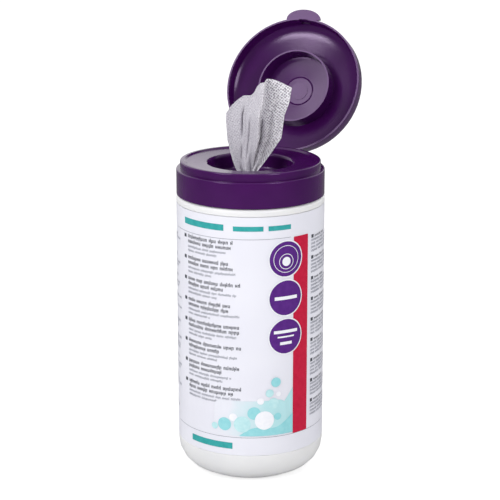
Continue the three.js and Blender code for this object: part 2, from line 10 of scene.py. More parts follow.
import bpy
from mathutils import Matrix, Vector


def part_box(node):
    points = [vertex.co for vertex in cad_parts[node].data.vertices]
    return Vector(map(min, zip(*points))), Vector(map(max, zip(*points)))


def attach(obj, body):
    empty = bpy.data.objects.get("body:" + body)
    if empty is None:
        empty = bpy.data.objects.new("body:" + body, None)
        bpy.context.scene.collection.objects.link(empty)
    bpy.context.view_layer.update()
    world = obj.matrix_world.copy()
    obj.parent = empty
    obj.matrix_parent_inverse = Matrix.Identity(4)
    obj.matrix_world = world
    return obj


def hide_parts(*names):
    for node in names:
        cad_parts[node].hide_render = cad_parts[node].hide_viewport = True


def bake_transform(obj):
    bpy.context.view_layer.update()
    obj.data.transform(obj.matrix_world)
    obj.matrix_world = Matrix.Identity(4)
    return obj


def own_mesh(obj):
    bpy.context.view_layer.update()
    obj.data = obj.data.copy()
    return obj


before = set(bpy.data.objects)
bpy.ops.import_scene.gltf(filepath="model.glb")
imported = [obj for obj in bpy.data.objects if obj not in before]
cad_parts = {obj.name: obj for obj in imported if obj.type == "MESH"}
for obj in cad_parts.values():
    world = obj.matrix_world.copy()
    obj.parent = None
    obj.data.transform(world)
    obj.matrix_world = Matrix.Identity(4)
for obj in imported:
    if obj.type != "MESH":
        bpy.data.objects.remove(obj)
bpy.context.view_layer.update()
MM = 0.001

# %% [markdown]
# ## Camera
# The picture was taken from a little above, with a long lens, so that the sides of the
# bottle run almost parallel. A camera can be placed by eye. Here its lens, pitch and
# distance were worked out from the ellipses that the cap and the base show, because a
# turned object gives them away exactly, and it is set by those numbers.

# %% Camera at the photograph's viewing angle
VIEW_ANGLE = 22.3
CAMERA_AZIMUTH = math.radians(VIEW_ANGLE)
CAMERA_PITCH = math.radians(15.18)
CAMERA_DISTANCE = 1038.9 * MM
CAMERA_HEIGHT = 426.2 * MM
CAMERA_LENS = 120.0
CAMERA_SENSOR = 36.0
CAMERA_SHIFT = -0.001

camera = bpy.data.objects.new("camera", bpy.data.cameras.new("camera"))
bpy.context.scene.collection.objects.link(camera)
camera.data.lens = CAMERA_LENS
camera.data.sensor_width = CAMERA_SENSOR
camera.data.shift_x = CAMERA_SHIFT
camera.location = (
    CAMERA_DISTANCE * math.sin(CAMERA_AZIMUTH),
    -CAMERA_DISTANCE * math.cos(CAMERA_AZIMUTH),
    CAMERA_HEIGHT,
)
camera.rotation_euler = (math.pi / 2 - CAMERA_PITCH, 0, CAMERA_AZIMUTH)
bpy.context.scene.camera = camera
print("camera", [round(c, 4) for c in camera.location])

# %% The view's own directions, level with the floor
right = Vector((math.cos(CAMERA_AZIMUTH), math.sin(CAMERA_AZIMUTH), 0))
forward = Vector((math.sin(CAMERA_AZIMUTH), -math.cos(CAMERA_AZIMUTH), 0))
print("right", [round(c, 3) for c in right], "toward the viewer", [round(c, 3) for c in forward])

# %% [markdown]
# ## Sizes read from the frame
# The label's radius, the heights of the discs and the top of the cap are read from the
# frame, so that a change in the model moves the looks along with it. The depth of the cap's
# well, the place of the hinge and the layout of the print are repeated in this file, because
# the boxes round the nodes don't show them.

# %% Radius of the label and floor of the well
LABEL_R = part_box("label")[1].x
WELL_DEPTH = 12.3 * MM
cap_low, cap_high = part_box("cap")
WELL_FLOOR_Z = cap_high.z - WELL_DEPTH
print("label", round(LABEL_R, 4), "cap", round(cap_low.z, 4), round(cap_high.z, 4))

# %% [markdown]
# ## Materials
# A material is a few nodes: what the stuff is (the shader's own numbers), a small colour
# change that keeps it from looking computed, and a bump for how its surface was made.
# Pictures could give all of this, but nodes stay sharp at any size and are easy to change.
# One helper turns sRGB hex into the linear numbers that shaders want, and one adds a node
# with its settings and links.

# %% Helpers for colours and nodes
def linear(hex_colour):
    """An sRGB hex colour as the linear numbers that shaders use, with full opacity."""
    channels = [int(hex_colour[start:start + 2], 16) / 255 for start in (1, 3, 5)]
    return [c / 12.92 if c <= 0.04045 else ((c + 0.055) / 1.055) ** 2.4 for c in channels] + [1.0]


def add(material, kind, settings=None, **links):
    """Adds one node. A setting goes on the node, or on an input with that name or number,
    and stops are the ends of a colour ramp, each a position and a hex colour. A link goes to
    the input with that name, and i0, i1 and so on go to an input by number."""
    node = material.node_tree.nodes.new(kind)
    for name, value in (settings or {}).items():
        if name == "stops":
            for element, (position, hex_colour) in zip(node.color_ramp.elements, value):
                element.position = position
                element.color = linear(hex_colour)
        elif isinstance(name, int) or name in node.inputs:
            node.inputs[name].default_value = value
        else:
            setattr(node, name, value)
    for name, source in links.items():
        by_number = name[0] == "i" and name[1:].isdigit()
        socket = node.inputs[int(name[1:]) if by_number else name]
        material.node_tree.links.new(source, socket)
    return node


print("sRGB mid grey in linear numbers", round(linear("#808080")[0], 3))

# %% Helpers that start a material, tint it and roughen it
CLOUD_STOPS = (0.35, 0.65)
NOISE_DETAIL = 2.0
BUMP_DETAIL = 3.0


def start_material(name, **shader_settings):
    """A new material with its Principled shader, and values for the shader's own inputs."""
    material = bpy.data.materials.new(name)
    material.use_nodes = True
    principled = material.node_tree.nodes["Principled BSDF"]
    for socket, value in shader_settings.items():
        principled.inputs[socket.replace("_", " ")].default_value = value
    return material, principled


def blotched_colour(material, principled, low, high, size_mm, detail=NOISE_DETAIL):
    """Slow cloudy change between two close colours, at a real size. Gives back the socket
    that says where on the object a point lies."""
    place = add(material, "ShaderNodeTexCoord").outputs["Object"]
    noise = add(material, "ShaderNodeTexNoise", {"Scale": 1 / (size_mm * MM), "Detail": detail},
                Vector=place)
    ramp = add(material, "ShaderNodeValToRGB",
               {"stops": ((CLOUD_STOPS[0], low), (CLOUD_STOPS[1], high))},
               Fac=noise.outputs["Fac"])
    material.node_tree.links.new(ramp.outputs["Color"], principled.inputs["Base Color"])
    return place


def fine_bump(material, principled, place, size_mm, depth_mm):
    """Low noise relief such as a mould or a blown skin leaves."""
    noise = add(material, "ShaderNodeTexNoise", {"Scale": 1 / (size_mm * MM), "Detail": BUMP_DETAIL},
                Vector=place)
    bump = add(material, "ShaderNodeBump", {"Distance": depth_mm * MM, "Strength": 1.0},
               Height=noise.outputs["Fac"])
    material.node_tree.links.new(bump.outputs["Normal"], principled.inputs["Normal"])


print("materials so far", len(bpy.data.materials))

# %% [markdown]
# ### Plastics
# The bottle is blow-moulded polyethylene: waxy, a little see-through, never mirror smooth,
# with the faint ripple of a blown skin. The cap is injection-moulded polypropylene, dyed
# dark purple through and polished by its mould, and it tints what it mirrors a little. The
# label is polypropylene film, which lies so flat that its gloss hardly wavers.

# %% Bottle, cap and label film
hdpe, shader = start_material("blow_moulded_white_hdpe", Roughness=0.38, IOR=1.54,
                              Subsurface_Weight=0.12, Subsurface_Radius=(2 * MM, 2 * MM, 2.4 * MM))
place = blotched_colour(hdpe, shader, "#E4E4E6", "#E9E9EA", size_mm=30)
fine_bump(hdpe, shader, place, size_mm=2.5, depth_mm=0.03)

purple_pp, shader = start_material("moulded_purple_polypropylene", Roughness=0.19, IOR=1.5,
                                   Specular_IOR_Level=0.42, Specular_Tint=linear("#EBD6F7"))
place = blotched_colour(purple_pp, shader, "#3A0A4B", "#400D51", size_mm=25)
fine_bump(purple_pp, shader, place, size_mm=1.6, depth_mm=0.012)

film, shader = start_material("printed_polypropylene_film", Roughness=0.34, IOR=1.5,
                              Specular_IOR_Level=0.35)
place = blotched_colour(film, shader, "#E3E3ED", "#E7E7F0", size_mm=40)
fine_bump(film, shader, place, size_mm=6, depth_mm=0.02)
print("plastics", hdpe.name, purple_pp.name, film.name)

# %% [markdown]
# ### Inks
# The label is printed by flexography, from soft rubber plates. Ink on film takes the film's
# gloss but mirrors less, and it is never laid quite evenly, so each ink wanders a little
# between two neighbouring shades.

# %% Inks
def ink(name, low, high):
    """A printed ink that wanders between two close shades."""
    material, principled = start_material(name, Roughness=0.36, IOR=1.5, Specular_IOR_Level=0.18)
    spot = blotched_colour(material, principled, low, high, size_mm=3, detail=6.0)
    fine_bump(material, principled, spot, size_mm=6, depth_mm=0.02)
    return material


red_ink = ink("red_flexo_ink", "#BF1038", "#C8163E")
purple_ink = ink("purple_flexo_ink", "#53217C", "#5B2784")
pale_teal_ink = ink("pale_teal_flexo_ink", "#B4DFE4", "#C4E7EA")
mid_teal_ink = ink("mid_teal_flexo_ink", "#90D2D9", "#9BD8DE")
teal_ink = ink("teal_flexo_ink", "#2F9C9C", "#3BA6A6")
grey_ink = ink("dark_grey_flexo_ink", "#44474F", "#50535C")
light_grey_ink = ink("light_grey_flexo_ink", "#7F8290", "#8A8D9A")
white_ink = ink("white_flexo_ink", "#ECEDF4", "#F2F2F7")
print("inks", sum("flexo_ink" in material.name for material in bpy.data.materials))

# %% [markdown]
# The picture field is screened: its dots thin out to the left until only the film is left.
# The dots themselves are far too fine to show, so the ink's colour is mixed into the film's
# by how far to the right a point lies. Slow clouds keep the edge of the fade from being a
# straight line.

# %% Screened ink of the picture field
FADE_FROM = -16 * MM
FADE_TO = 12 * MM
FADE_WANDER = 22 * MM
CLOUD_WIDTH = 14 * MM
# A Mix node takes the share at input 0 and its two colours at inputs 6 and 7. The mixed
# colour comes out at output 2.
MIX_RESULT = 2

screened_ink, shader = start_material("screened_teal_flexo_ink", Roughness=0.34, IOR=1.5,
                                      Specular_IOR_Level=0.33)
place = add(screened_ink, "ShaderNodeTexCoord").outputs["Object"]
across_field = add(screened_ink, "ShaderNodeVectorMath", {"operation": "DOT_PRODUCT", 1: tuple(right)},
                   i0=place)
clouds = add(screened_ink, "ShaderNodeTexNoise", {"Scale": 1 / CLOUD_WIDTH, "Detail": 3.0},
             Vector=place)
wander = add(screened_ink, "ShaderNodeMath", {"operation": "MULTIPLY_ADD", 1: FADE_WANDER},
             i0=clouds.outputs["Fac"], i2=across_field.outputs["Value"])
screen = add(screened_ink, "ShaderNodeMapRange",
             {"From Min": FADE_FROM + FADE_WANDER / 2, "From Max": FADE_TO + FADE_WANDER / 2},
             Value=wander.outputs[0])
screen_tone = add(screened_ink, "ShaderNodeMix",
                  {"data_type": "RGBA", 6: linear("#E5E6EF"), 7: linear("#B6E0E5")},
                  i0=screen.outputs["Result"])
screened_ink.node_tree.links.new(screen_tone.outputs[MIX_RESULT], shader.inputs["Base Color"])
fine_bump(screened_ink, shader, place, size_mm=6, depth_mm=0.02)
print("ink fades over", round(FADE_TO - FADE_FROM, 4), "m")

# %% [markdown]
# ### Nonwoven wipe
# The cloth is a hydroentangled nonwoven: fibres washed together by water jets on a mesh,
# which leaves rows of tiny pin holes. It could be a picture of cloth, but holes from a
# pattern node keep their true spacing on every fold. They are about 0.8 mm apart on the
# real cloth and are drawn 1.4 mm apart here, or they would vanish at this size. Up to the
# ridge the cloth lies double, which closes the holes and leaves an even, fibrous grey.

# %% Colours of pin holes and fibres
PIN_PITCH = 1.4 * MM
PIN_ROWS_SLANT = math.radians(33)
PIN_DISORDER = 0.3
FIBRE_TUFT = 0.9 * MM

nonwoven, shader = start_material("hydroentangled_nonwoven", Roughness=0.85, IOR=1.45,
                                  Subsurface_Weight=0.15, Subsurface_Radius=(3 * MM, 3 * MM, 3 * MM),
                                  Sheen_Weight=0.15)
weave_place = add(nonwoven, "ShaderNodeUVMap", {"uv_map": "cloth"}).outputs["UV"]
slant = add(nonwoven, "ShaderNodeMapping", {"Rotation": (0, 0, PIN_ROWS_SLANT)}, Vector=weave_place)
pins = add(nonwoven, "ShaderNodeTexVoronoi", {"Scale": 1 / PIN_PITCH, "Randomness": PIN_DISORDER},
           Vector=slant.outputs["Vector"])
pin_shade = add(nonwoven, "ShaderNodeValToRGB",
                {"stops": ((0.2, "#5C5366"), (0.48, "#EDEBF0"))}, Fac=pins.outputs["Distance"])
fibres = add(nonwoven, "ShaderNodeTexNoise", {"Scale": 1 / FIBRE_TUFT, "Detail": 5.0},
             Vector=weave_place)
fibre_shade = add(nonwoven, "ShaderNodeValToRGB",
                  {"stops": ((0.38, "#ADA9B4"), (0.62, "#D4D2D9"))}, Fac=fibres.outputs["Fac"])
print("pin holes a centimetre", round(10 * MM / PIN_PITCH, 1))

# %% Holes closed where the cloth lies double, and the relief of both
DOUBLED_UP_TO = 28.6 * MM
HOLES_LEFT_WHEN_DOUBLED = 0.25
HOLE_RELIEF = 1.5
RELIEF_DEPTH = 0.12 * MM

across_cloth = add(nonwoven, "ShaderNodeSeparateXYZ", Vector=weave_place)
open_mesh = add(nonwoven, "ShaderNodeMapRange",
                {"From Min": DOUBLED_UP_TO * 0.9, "From Max": DOUBLED_UP_TO * 1.1,
                 "To Min": HOLES_LEFT_WHEN_DOUBLED, "To Max": 1.0},
                Value=across_cloth.outputs["X"])
cloth_tone = add(nonwoven, "ShaderNodeMix", {"data_type": "RGBA"}, i0=open_mesh.outputs["Result"],
                 i6=fibre_shade.outputs["Color"], i7=pin_shade.outputs["Color"])
nonwoven.node_tree.links.new(cloth_tone.outputs[MIX_RESULT], shader.inputs["Base Color"])
relief = add(nonwoven, "ShaderNodeMath", {"operation": "MULTIPLY_ADD", 1: HOLE_RELIEF},
             i0=pins.outputs["Distance"], i2=fibres.outputs["Fac"])
cloth_bump = add(nonwoven, "ShaderNodeBump", {"Distance": RELIEF_DEPTH, "Strength": 0.8},
                 Height=relief.outputs[0])
nonwoven.node_tree.links.new(cloth_bump.outputs["Normal"], shader.inputs["Normal"])
print("nodes in the cloth", len(nonwoven.node_tree.nodes))

# %% [markdown]
# ## Smooth skins on the turned plastics
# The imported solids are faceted, and no two of their triangles share a corner, so smooth
# shading alone does nothing. Welding the corners would help, but it would change the solids.
# Instead each corner is given its own normal: the mean of the faces that meet there at less
# than a given angle. Round walls then shade as round, rims stay crisp, and no vertex moves.

# %% Normals for every corner of a solid
SHARP_EDGE = math.radians(30)
SAME_PLACE = 0.001 * MM


def round_off_shading(mesh):
    """Gives every corner the mean normal of the faces round it, up to the sharp edge."""
    limit = math.cos(SHARP_EDGE)
    places = [tuple(round(c / SAME_PLACE) for c in vertex.co) for vertex in mesh.vertices]
    meeting = {}
    for face in mesh.polygons:
        corners = list(face.vertices)
        for before, here, after in zip(corners[-1:] + corners[:-1], corners, corners[1:] + corners[:1]):
            side_before = mesh.vertices[before].co - mesh.vertices[here].co
            side_after = mesh.vertices[after].co - mesh.vertices[here].co
            width = side_before.angle(side_after, 0.0)
            meeting.setdefault(places[here], []).append((face.normal.copy(), width))
    normals = []
    for face in mesh.polygons:
        for here in face.vertices:
            total = Vector()
            for normal, width in meeting[places[here]]:
                if normal.dot(face.normal) > limit:
                    total += normal * width
            normals.append(total.normalized() if total.length else face.normal)
    mesh.normals_split_custom_set(normals)


def dress(node, material):
    """Gives a solid of the frame its material and its smooth skin."""
    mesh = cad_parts[node].data
    mesh.materials.clear()
    mesh.materials.append(material)
    mesh.polygons.foreach_set("use_smooth", [True] * len(mesh.polygons))
    round_off_shading(mesh)


print("faces to smooth", sum(len(piece.data.polygons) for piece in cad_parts.values()))

# %% Dress the solids of the frame
DISC_NODES = ("print_disc_top", "print_disc_middle", "print_disc_bottom")

dress("bottle", hdpe)
dress("label", film)
dress("cap", purple_pp)
dress("flip_lid", purple_pp)
dress("wipe_roll", nonwoven)
dress("print_red_band", red_ink)
for disc in DISC_NODES:
    dress(disc, purple_ink)
dress("print_picture_field", screened_ink)
print("dressed", len(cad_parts), "solids")

# %% [markdown]
# ## Print on the label
# Print could be an image on the film. Here it is laid on as thin patches bent round the
# label, a fraction of a millimetre proud of the film, so that its edges stay crisp from any
# side.

# %% Helpers that make a piece and find a place on the label
def new_piece(name, vertices, faces, material, body):
    """A new piece from its mesh, riding on a body, or on none when no body is given."""
    mesh = bpy.data.meshes.new(name)
    mesh.from_pydata([tuple(v) for v in vertices], [], faces)
    mesh.validate()
    mesh.update()
    piece = bpy.data.objects.new(name, mesh)
    bpy.context.scene.collection.objects.link(piece)
    mesh.materials.append(material)
    if body:
        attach(piece, body)
    return piece


def on_label(angle, height, lift_mm):
    """A point on the label: angle in degrees from the front (-Y) toward +X, height in mm."""
    radius = LABEL_R + lift_mm * MM
    turn = math.radians(angle)
    return Vector((radius * math.sin(turn), -radius * math.cos(turn), height * MM))


print("middle of the view on the label", [round(c, 4) for c in on_label(VIEW_ANGLE, 100, 0)])

# %% Helpers that lay ink on the round label
BAR_LIFT = 0.06
BEND_STEP = 2.5
DISC_RINGS, DISC_CORNERS = 6, 48


def lay_strip(vertices, faces, low_angle, high_angle, steps, foot, crest, lift_mm):
    """Adds a strip that bends with the label in short steps. Its foot is level, and crest
    gives the height of its upper edge at each share of the way along."""
    for step in range(steps + 1):
        angle = low_angle + (high_angle - low_angle) * step / steps
        vertices += [on_label(angle, foot, lift_mm), on_label(angle, crest(step / steps), lift_mm)]
        if step:
            last = len(vertices) - 1
            faces.append((last - 3, last - 1, last, last - 2))


def ink_bars(name, bars, material, lift_mm=BAR_LIFT):
    """Bars of ink: each (low angle, high angle, foot, head), angles in degrees, heights in mm."""
    vertices, faces = [], []
    for low_angle, high_angle, foot, head in bars:
        steps = max(1, math.ceil((high_angle - low_angle) / BEND_STEP))
        lay_strip(vertices, faces, low_angle, high_angle, steps, foot, lambda share: head, lift_mm)
    return new_piece(name, vertices, faces, material, "canister")


def ink_disc(name, angle, height, inner_mm, outer_mm, material, slot, lift_mm):
    """A round spot of ink, or a ring where the inner radius isn't 0."""
    vertices, faces = [], []
    for ring in range(DISC_RINGS + 1):
        radius = inner_mm + (outer_mm - inner_mm) * ring / DISC_RINGS
        for corner in range(DISC_CORNERS):
            turn = 2 * math.pi * corner / DISC_CORNERS
            across = math.degrees(radius * math.cos(turn) * MM / LABEL_R)
            vertices.append(on_label(angle + across, height + radius * math.sin(turn), lift_mm))
    for ring in range(DISC_RINGS):
        for corner in range(DISC_CORNERS):
            here = ring * DISC_CORNERS + corner
            there = ring * DISC_CORNERS + (corner + 1) % DISC_CORNERS
            faces.append((here, here + DISC_CORNERS, there + DISC_CORNERS, there))
    return new_piece(name, vertices, faces, material, "canister")


print("ink lies", BAR_LIFT, "mm proud of the film")

# %% [markdown]
# ### Small print
# From a step away small print is a grey texture with gaps and line ends in it. Pairs of
# upright strokes give that texture, with a cross stroke at the head, the middle or the foot.
# A generator of random numbers with a fixed start chooses them, so the label comes out the
# same each time.

# %% A line of strokes that reads as small print from a step away
WORD_GAP = 0.7
ASCENDER, DESCENDER = 1.4, 0.35
PAIR_WIDTH = 0.76
CROSS_STROKE = 0.8
DEGREE_A_MM = math.degrees(MM / LABEL_R)


def greeked_line(rng, low_angle, high_angle, base, x_height, pitch, stroke):
    """Bars for one line of small print. Angles are in degrees, other sizes in mm."""
    bars, angle, pairs_left = [], low_angle, rng.randint(4, 10)
    while angle < high_angle:
        if pairs_left == 0:
            pairs_left = rng.randint(3, 11)
            angle += pitch * DEGREE_A_MM * WORD_GAP
            continue
        top = base + x_height * rng.choice((1, 1, 1, ASCENDER))
        foot = base - x_height * rng.choice((0, 0, 0, 0, DESCENDER))
        wide = stroke * DEGREE_A_MM
        inner = (pitch * PAIR_WIDTH - stroke) * DEGREE_A_MM
        bars.append((angle, angle + wide, foot, base + x_height))
        bars.append((angle + inner, angle + inner + wide, base, top))
        level = base + (x_height - stroke) * rng.choice((0, 0.5, 1))
        bars.append((angle + wide, angle + inner, level, level + stroke * CROSS_STROKE))
        angle += pitch * DEGREE_A_MM
        pairs_left -= 1
    return bars


print("a millimetre on the label is", round(DEGREE_A_MM, 3), "degrees")

# %% Small print of the main panel: eight blocks of two bold and two light lines
BLOCKS = 8
BLOCK_PITCH = 13.65
FIRST_BLOCK_TOP = 161.0
BOLD = {"x_height": 1.8, "pitch": 1.75, "stroke": 0.44}
LIGHT = {"x_height": 1.2, "pitch": 1.25, "stroke": 0.26}
TEXT_LEFT = VIEW_ANGLE - 55.5
MARKER_LEFT = VIEW_ANGLE - 60.8
MARKER_WIDTH = 3
MARKER_FOOT, MARKER_HEAD = -1.2, 1.0
BOLD_BASE, BOLD_PITCH = 0.9, 3.3
LIGHT_BASE, LIGHT_PITCH = 7.1, 2.6
BOLD_ENDS = ((-20, -8), (-26, -8))
LIGHT_ENDS = ((-20, -6), (-34, -22))
LONGER_EACH_BLOCK = 1.6

rng = random.Random(11)
bold_lines, light_lines, markers = [], [], []
for block in range(BLOCKS):
    top = FIRST_BLOCK_TOP - BLOCK_PITCH * block
    markers.append((MARKER_LEFT, MARKER_LEFT + MARKER_WIDTH, top + MARKER_FOOT, top + MARKER_HEAD))
    bold_ends = [rng.uniform(*ends) for ends in BOLD_ENDS]
    bold_ends[0] += LONGER_EACH_BLOCK * block
    for line, end in enumerate(bold_ends):
        base = top - BOLD_BASE - BOLD_PITCH * line
        bold_lines += greeked_line(rng, TEXT_LEFT, VIEW_ANGLE + end, base, **BOLD)
    light_ends = [rng.uniform(*ends) for ends in LIGHT_ENDS]
    for line, end in enumerate(light_ends):
        base = top - LIGHT_BASE - LIGHT_PITCH * line
        light_lines += greeked_line(rng, TEXT_LEFT, VIEW_ANGLE + end, base, **LIGHT)
ink_bars("small_print_bold", bold_lines, grey_ink)
ink_bars("small_print_light", light_lines, light_grey_ink)
print("strokes of small print", len(bold_lines) + len(light_lines))

# %% Title bars, foot bar and thin rules, by their angles from the middle of the view
TITLE_BARS = [(-59.9, -20.6, 168.6, 172.6), (-13.2, 9.7, 168.8, 171.9), (13.5, 31.8, 168.8, 171.9)]
FOOT_BAR = [(-52, -14, 25.4, 29.6)]
THIN_RULES = [(-75, 32, 163.5, 163.75), (-75, 75, 33.2, 33.45)]


def in_view(bars):
    """The same bars, with their angles from the front and not from the middle of the view."""
    return [(VIEW_ANGLE + low, VIEW_ANGLE + high, foot, head) for low, high, foot, head in bars]


ink_bars("title_bars", in_view(TITLE_BARS), teal_ink)
ink_bars("foot_bar", in_view(FOOT_BAR), teal_ink)
ink_bars("thin_rules", in_view(THIN_RULES), light_grey_ink)
print("bars and rules", len(TITLE_BARS + FOOT_BAR + THIN_RULES))

# %% Dense small print of the two side panels: blocks of a dark heading and four light lines
SIDE_PANELS = ((VIEW_ANGLE + 53.5, VIEW_ANGLE + 122), (VIEW_ANGLE - 142, VIEW_ANGLE - 67))
SIDE_FOOT = 40
HEADING_LEFT = 4.6
HEADING_BASE = 0.9
HEADING_LENGTH = (20, 34)
SIDE_LINES = 4
SIDE_LINE_BASE, SIDE_LINE_PITCH = 3.2, 2.3
SIDE_LINE_FILL = (0.75, 1.0)

side_heads, side_lines = [], []
for low_angle, high_angle in SIDE_PANELS:
    top = FIRST_BLOCK_TOP
    while top > SIDE_FOOT:
        markers.append((low_angle, low_angle + MARKER_WIDTH, top + MARKER_FOOT, top + MARKER_HEAD))
        heading_end = low_angle + rng.uniform(*HEADING_LENGTH)
        side_heads += greeked_line(rng, low_angle + HEADING_LEFT, heading_end, top - HEADING_BASE,
                                   **LIGHT)
        for line in range(SIDE_LINES):
            end = low_angle + (high_angle - low_angle) * rng.uniform(*SIDE_LINE_FILL)
            base = top - SIDE_LINE_BASE - SIDE_LINE_PITCH * line
            side_lines += greeked_line(rng, low_angle, end, base, **LIGHT)
        top -= BLOCK_PITCH
ink_bars("side_print", side_lines, light_grey_ink)
ink_bars("side_print_heads", side_heads, grey_ink)
ink_bars("small_print_markers", markers, grey_ink)
print("strokes of side print", len(side_lines) + len(side_heads), "markers", len(markers))

# %% [markdown]
# ### Marks inside the discs and a plain picture
# The first disc holds a round spot in two rings, and the others hold plain bars, all in
# white ink a little above the purple. The picture field holds two waves and bubbles of
# several sizes in the label's teal, each a hair higher than the last so that none flickers
# through another.

# %% White marks on the discs
DISC_ANGLE = 50.2
MARK_LIFT = 0.3
DISC_EDGE = 0.7
OUTER_RING = (8.4, 8.75)
INNER_RING = (4.6, 5.0)
SPOT_R = 2.9
SPOT_BELOW = 1.6
DISC_BARS = [(1, 9.5, -1.1, 1.1), (2, 10, 2.2, 4.2), (2, 7, -0.7, 0.3), (2, 5, -5.4, -3.5)]

disc_boxes = [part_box(disc) for disc in DISC_NODES]
disc_heights = [(low.z + high.z) / 2 / MM for low, high in disc_boxes]
disc_radius = (disc_boxes[0][1].z - disc_boxes[0][0].z) / 2 / MM
for number, height in enumerate(disc_heights):
    ink_disc(f"disc_edge_{number}", DISC_ANGLE, height, disc_radius, disc_radius + DISC_EDGE,
             white_ink, "label_film", MARK_LIFT)
spot_height = disc_heights[0] - SPOT_BELOW
ink_disc("disc_ring", DISC_ANGLE, disc_heights[0], *OUTER_RING, white_ink, "label_film", MARK_LIFT)
ink_disc("disc_drop_round", DISC_ANGLE, spot_height, 0, SPOT_R, white_ink, "label_film", MARK_LIFT)
ink_disc("disc_drop_arc", DISC_ANGLE, spot_height, *INNER_RING, white_ink, "label_film", MARK_LIFT)
disc_bars = [(DISC_ANGLE - half, DISC_ANGLE + half, disc_heights[disc] + foot, disc_heights[disc] + head)
             for disc, half, foot, head in DISC_BARS]
ink_bars("disc_bars", disc_bars, white_ink, lift_mm=MARK_LIFT)
print("discs at", [round(height, 1) for height in disc_heights], "mm, radius", round(disc_radius, 1))

# %% Waves of the picture, from their left ends to the red band
BAND_EDGE_ANGLE = 56.6
WAVE_STEPS = 48
PICTURE_FOOT = 34.5


def pale_crest(share):
    """Height of the pale wave in mm, which climbs steeply to the band."""
    return 36 + 29 * share ** 2.6


def near_crest(share):
    """Height of the near wave in mm, a slope with a ripple."""
    return 35 + 11 * share + 2.4 * math.sin(share * 7)


for name, left_angle, crest, fill, lift_mm in (
        ("picture_wave_pale", -4, pale_crest, screened_ink, 0.08),
        ("picture_wave", 14, near_crest, mid_teal_ink, 0.26)):
    vertices, faces = [], []
    lay_strip(vertices, faces, left_angle, BAND_EDGE_ANGLE, WAVE_STEPS, PICTURE_FOOT, crest, lift_mm)
    new_piece(name, vertices, faces, fill, "canister")
print("waves rise to", round(pale_crest(1), 1), "and", round(near_crest(1), 1), "mm")

# %% Bubbles of the picture: angle in degrees, height and radius in mm
BUBBLES = [
    (2, 42, 4.4), (9, 47, 2.6), (16, 42.5, 5.4), (25, 50, 4.2), (33, 45, 6.2), (40, 56, 3.6),
    (43.5, 47, 2.4), (30, 58, 2.2), (37, 63, 2.6), (42, 70, 3.2), (44, 62, 1.6), (-6, 40, 2.2),
]
BUBBLE_INKS = (mid_teal_ink, white_ink, pale_teal_ink)
FIRST_BUBBLE_LIFT, BUBBLE_LIFT_STEP = 0.3, 0.01
for number, (angle, height, radius) in enumerate(BUBBLES):
    fill = BUBBLE_INKS[number % len(BUBBLE_INKS)]
    ink_disc(f"bubble_{number}", angle, height, 0, radius, fill, "teal_ink",
             FIRST_BUBBLE_LIFT + BUBBLE_LIFT_STEP * number)
print("bubbles", len(BUBBLES))

# %% [markdown]
# ## The standing wipe
# A wipe is a flat sheet pulled through a star-shaped hole. It is squeezed into tight pleats
# there and opens like a fan above. A cloth simulation could drop it there, but it wouldn't
# land in the photograph's folds. So the sheet is drawn as a grid: one number runs across the
# cloth, one up it, and a pleat function says how far each point stands forward.

# %% Outline of the wipe, in mm from the middle of the well's floor
# A row of edges is a height, the left and the right edge, and the depth of the pleats.
TAIL = -42
EDGE_ROWS = [
    (TAIL, -7, 7, 5), (-13, -2.9, 2.9, 2.0), (0.6, -2.9, 2.9, 2.0),
    (5, -8.6, 4.6, 3.2), (11, -11.1, 9.5, 3.6), (16, -12.6, 13.4, 4.0), (25, -14.7, 19.6, 4.6),
    (40, -15.7, 21.6, 5.0), (48, -14.6, 24.6, 5.0), (59, -14, 26.3, 4.6),
]
LEFT_EDGE, RIGHT_EDGE, PLEAT_DEPTH = 1, 2, 3
# The upper edge is a share of the way across and a height.
TOP_EDGE = [
    (0, 42), (0.06, 46.4), (0.16, 50.8), (0.25, 53.4), (0.37, 53.8), (0.415, 56), (0.45, 60),
    (0.50, 62.4), (0.58, 63.6), (0.70, 63.6), (0.80, 62.4), (0.90, 60.6), (1, 59.3),
]
EDGE_HEIGHT = 1


def read_rows(rows, value, column):
    """Straight-line reading of a table between its rows."""
    for low, high in zip(rows, rows[1:]):
        if value <= high[0]:
            share = max(0.0, (value - low[0]) / (high[0] - low[0]))
            return low[column] + (high[column] - low[column]) * share
    return rows[-1][column]


print("wipe stands", max(height for _, height in TOP_EDGE), "mm above the well's floor")

# %% The ridge: a fold that leans right toward the hole and parts the wipe in two
RIDGE = 0.56
RIDGE_LEAN = 0.31
LEAN_HEIGHT = 8


def smooth(value, low, high):
    """Goes softly from 0 at the low value to 1 at the high one."""
    share = min(1.0, max(0.0, (value - low) / (high - low)))
    return share * share * (3 - 2 * share)


def side_share(across, above):
    """Where a point of the cloth lies between the left and the right edge, both shares."""
    ridge = RIDGE + RIDGE_LEAN * math.exp(-max(0.0, above) / LEAN_HEIGHT)
    if across < RIDGE:
        return across / RIDGE * ridge
    return ridge + (across - RIDGE) / (1 - RIDGE) * (1 - ridge)


print("ridge at the hole", round(side_share(RIDGE, 0), 2), "and at the top", round(side_share(RIDGE, 60), 2))

